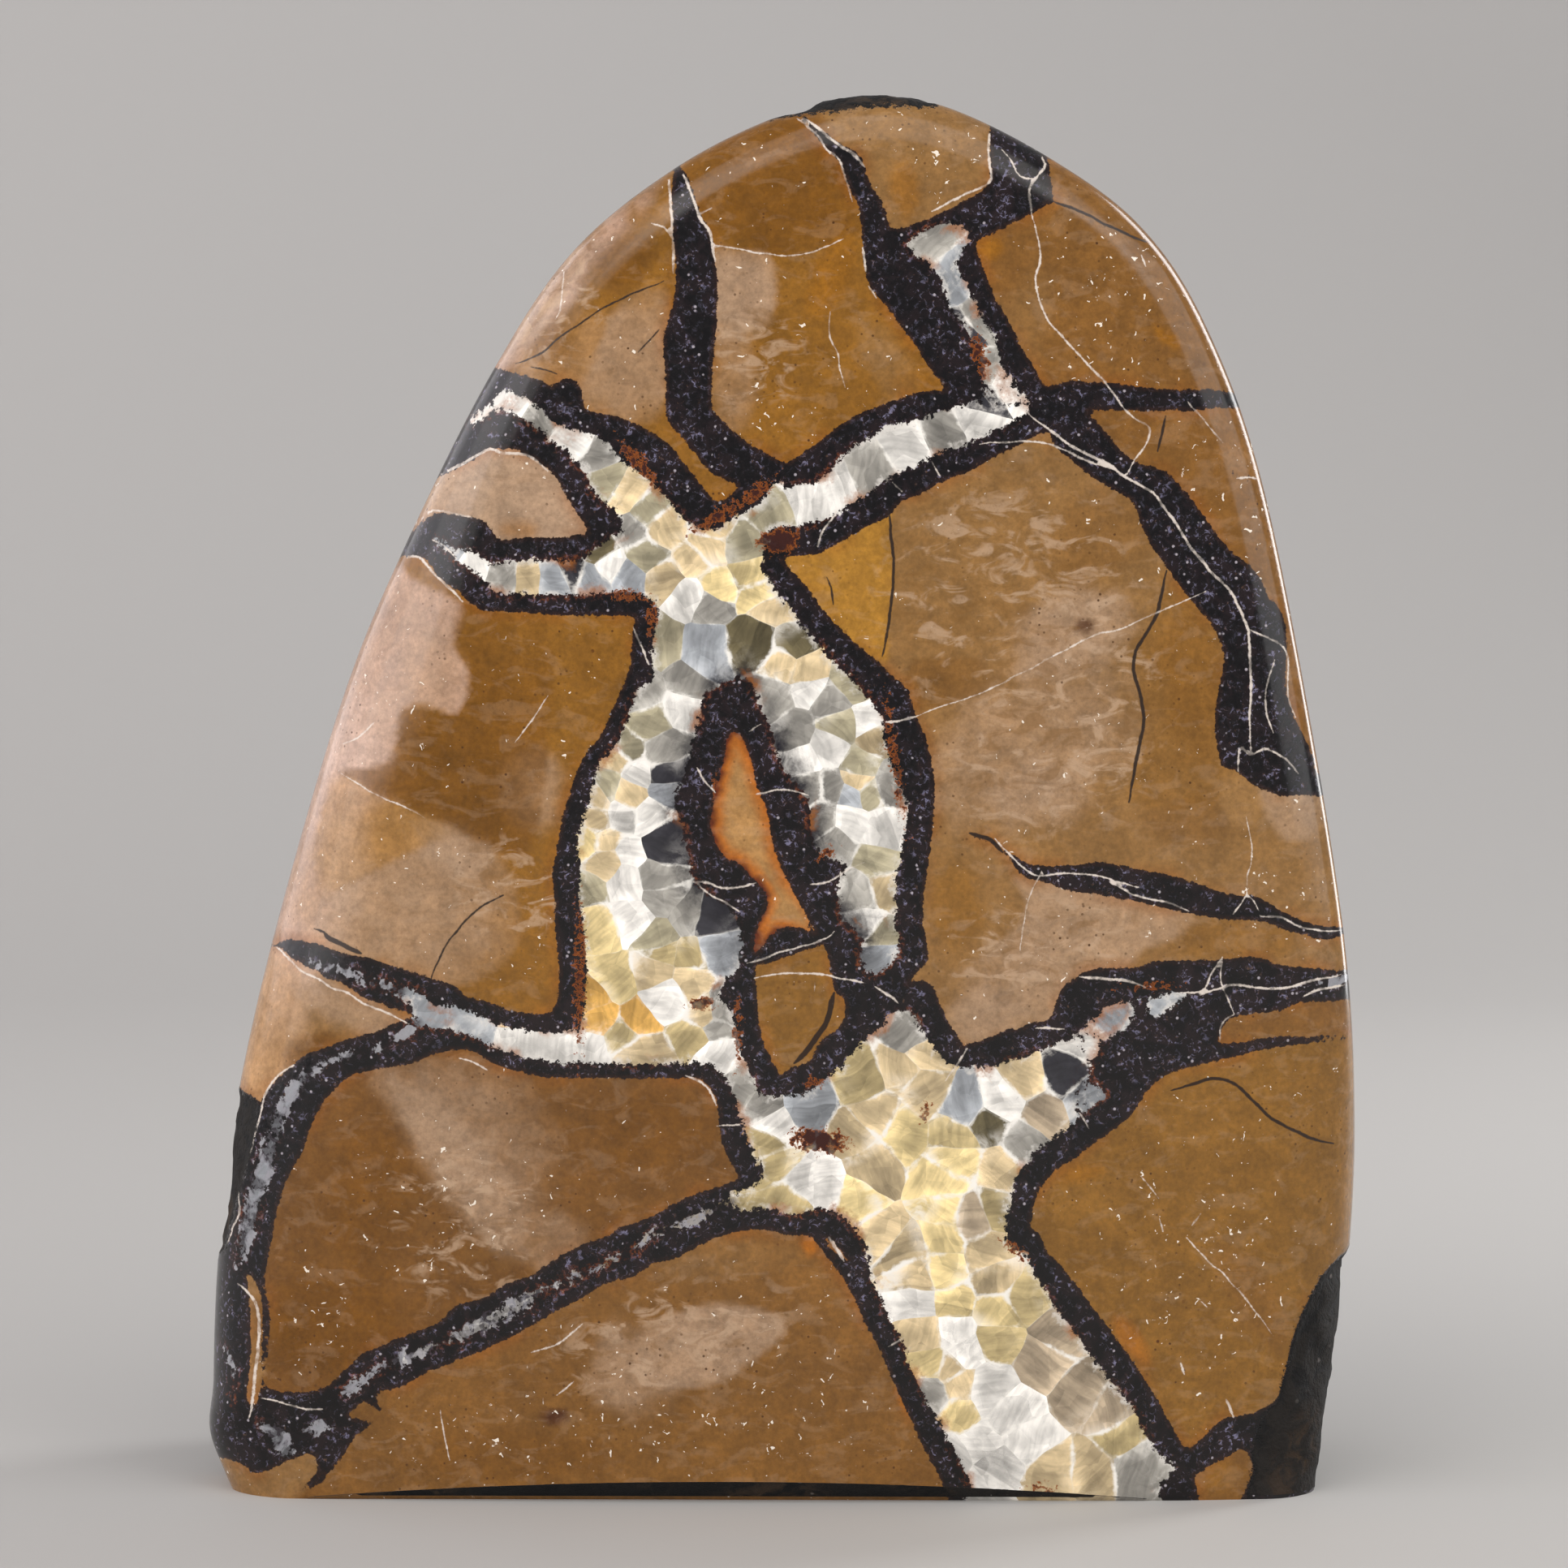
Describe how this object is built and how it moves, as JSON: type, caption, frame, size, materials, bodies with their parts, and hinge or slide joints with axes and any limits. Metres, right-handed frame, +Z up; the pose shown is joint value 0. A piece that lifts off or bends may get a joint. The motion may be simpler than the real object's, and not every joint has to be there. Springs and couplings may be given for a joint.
{
  "type": "septarian nodule",
  "caption": "Standing septarian nodule: a sawn-footed stone with one polished domed face of limestone blocks between calcite veins, and a lumpy natural back.",
  "frame": {"origin": "on the sawn foot, under the middle of the stone's bounding box", "axes": "+Z up from the sawn foot to the top of the stone, -Y out of the polished face, +X to the right as the polished face is looked at"},
  "size_m": [0.124, 0.0598, 0.1497],
  "materials": {
    "polished_septarian_stone": "polished face of ochre limestone blocks, dark brown calcite linings and pale calcite crystals; matt dark rind behind"
  },
  "bodies": {
    "root": {"nodule": "polished_septarian_stone"}
  },
  "joints": []
}
